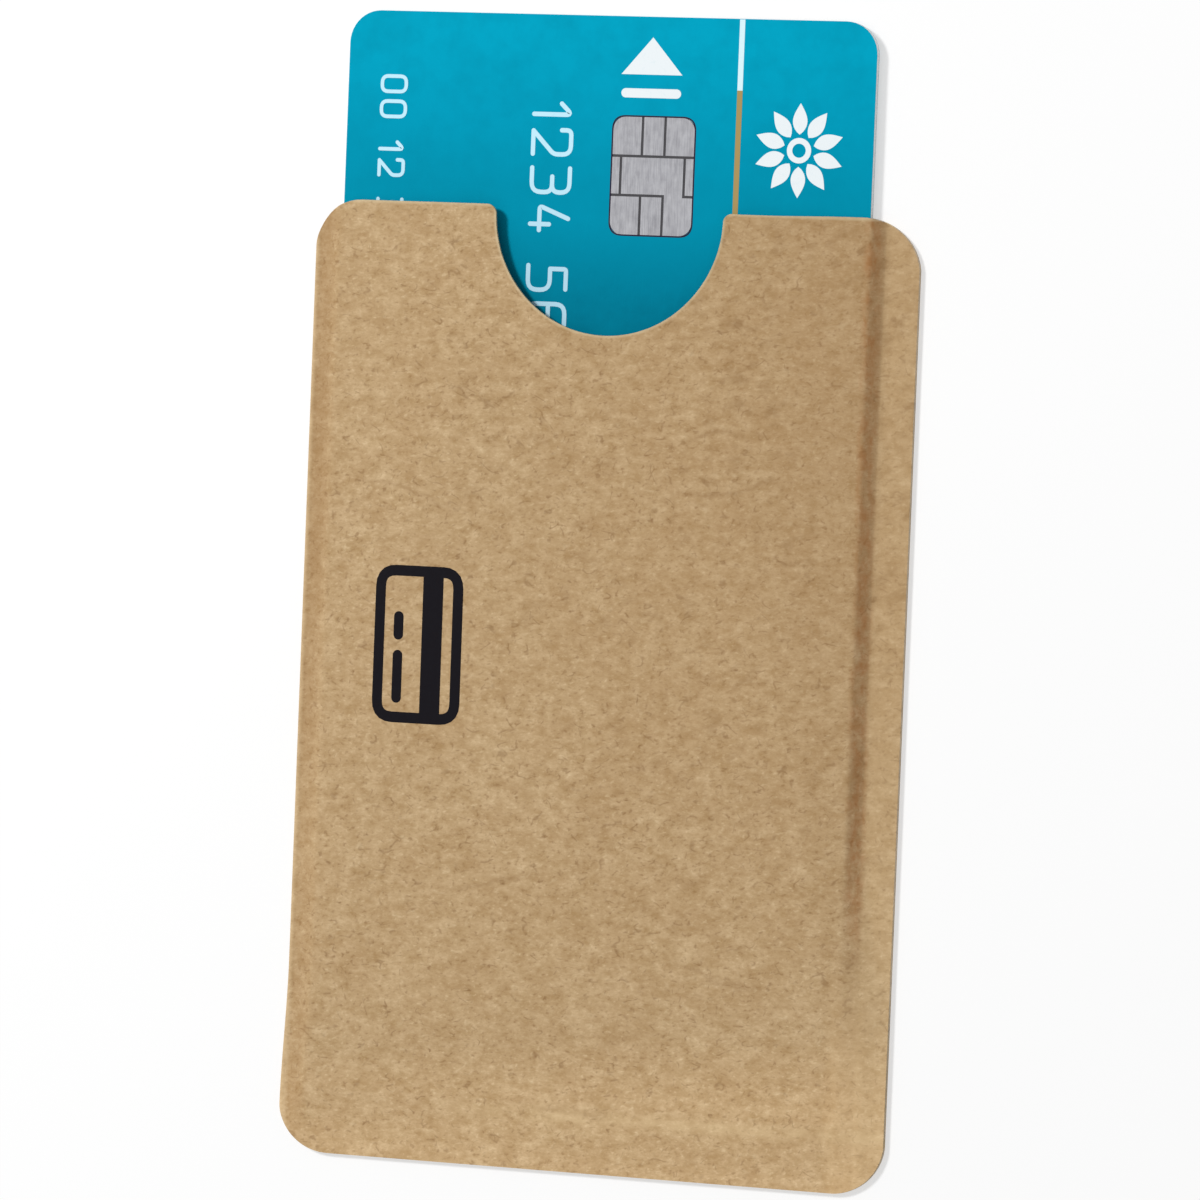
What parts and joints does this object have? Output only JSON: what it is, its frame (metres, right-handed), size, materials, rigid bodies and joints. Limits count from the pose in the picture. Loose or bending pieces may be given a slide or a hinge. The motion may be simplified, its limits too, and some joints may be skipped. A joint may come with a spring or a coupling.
{
  "type": "shielded card sleeve",
  "caption": "Kraft paper sleeve lined with foil, folded on one side, sealed on the other and at the bottom, with a thumb notch and a payment card that slides in and out.",
  "frame": {"origin": "centre of the sleeve's flat back face", "axes": "+Y out of the sleeve's mouth, along the card's travel; +Z out of the front panel, the one with the thumb notch; +X towards the sealed side, away from the fold"},
  "size_m": [0.062, 0.1126, 0.0025],
  "materials": {
    "kraft_board": "uncoated brown kraft board with visible fibres",
    "foil_lining": "satin aluminium foil with a clear sealing film",
    "seal_adhesive": "cured hot-melt adhesive",
    "card_film": "turquoise printed film, semi-gloss",
    "card_core": "white card plastic",
    "antenna_copper": "bare copper wire",
    "magnetic_tape": "black magnetic tape",
    "signature_film": "white matt writing film",
    "chip_metal": "silver-coloured plated contacts",
    "chip_tape": "dark glass-epoxy tape",
    "chip_resin": "black resin",
    "chip_silicon": "grey silicon"
  },
  "bodies": {
    "sleeve": {"kraft_front_panel": "kraft_board", "kraft_fold": "kraft_board", "kraft_back_panel": "kraft_board", "foil_front_liner": "foil_lining", "foil_fold": "foil_lining", "foil_back_liner": "foil_lining", "side_seam_adhesive": "seal_adhesive", "bottom_seam_adhesive": "seal_adhesive"},
    "card": {"card_front_overlay": "card_film", "card_front_core": "card_core", "card_antenna_inlay": "card_core", "card_back_core": "card_core", "card_back_overlay": "card_film", "antenna_coil": "antenna_copper", "antenna_bridge": "antenna_copper", "magnetic_stripe": "magnetic_tape", "signature_panel": "signature_film", "chip_contacts": "chip_metal", "chip_carrier_tape": "chip_tape", "chip_bond_ring": "seal_adhesive", "chip_resin": "chip_resin", "chip_die": "chip_silicon"}
  },
  "joints": [
    {"name": "card_slide", "type": "slide", "parent": "sleeve", "child": "card", "axis": [0, 1, 0], "range_m": [-0.0201, 0.072]}
  ]
}
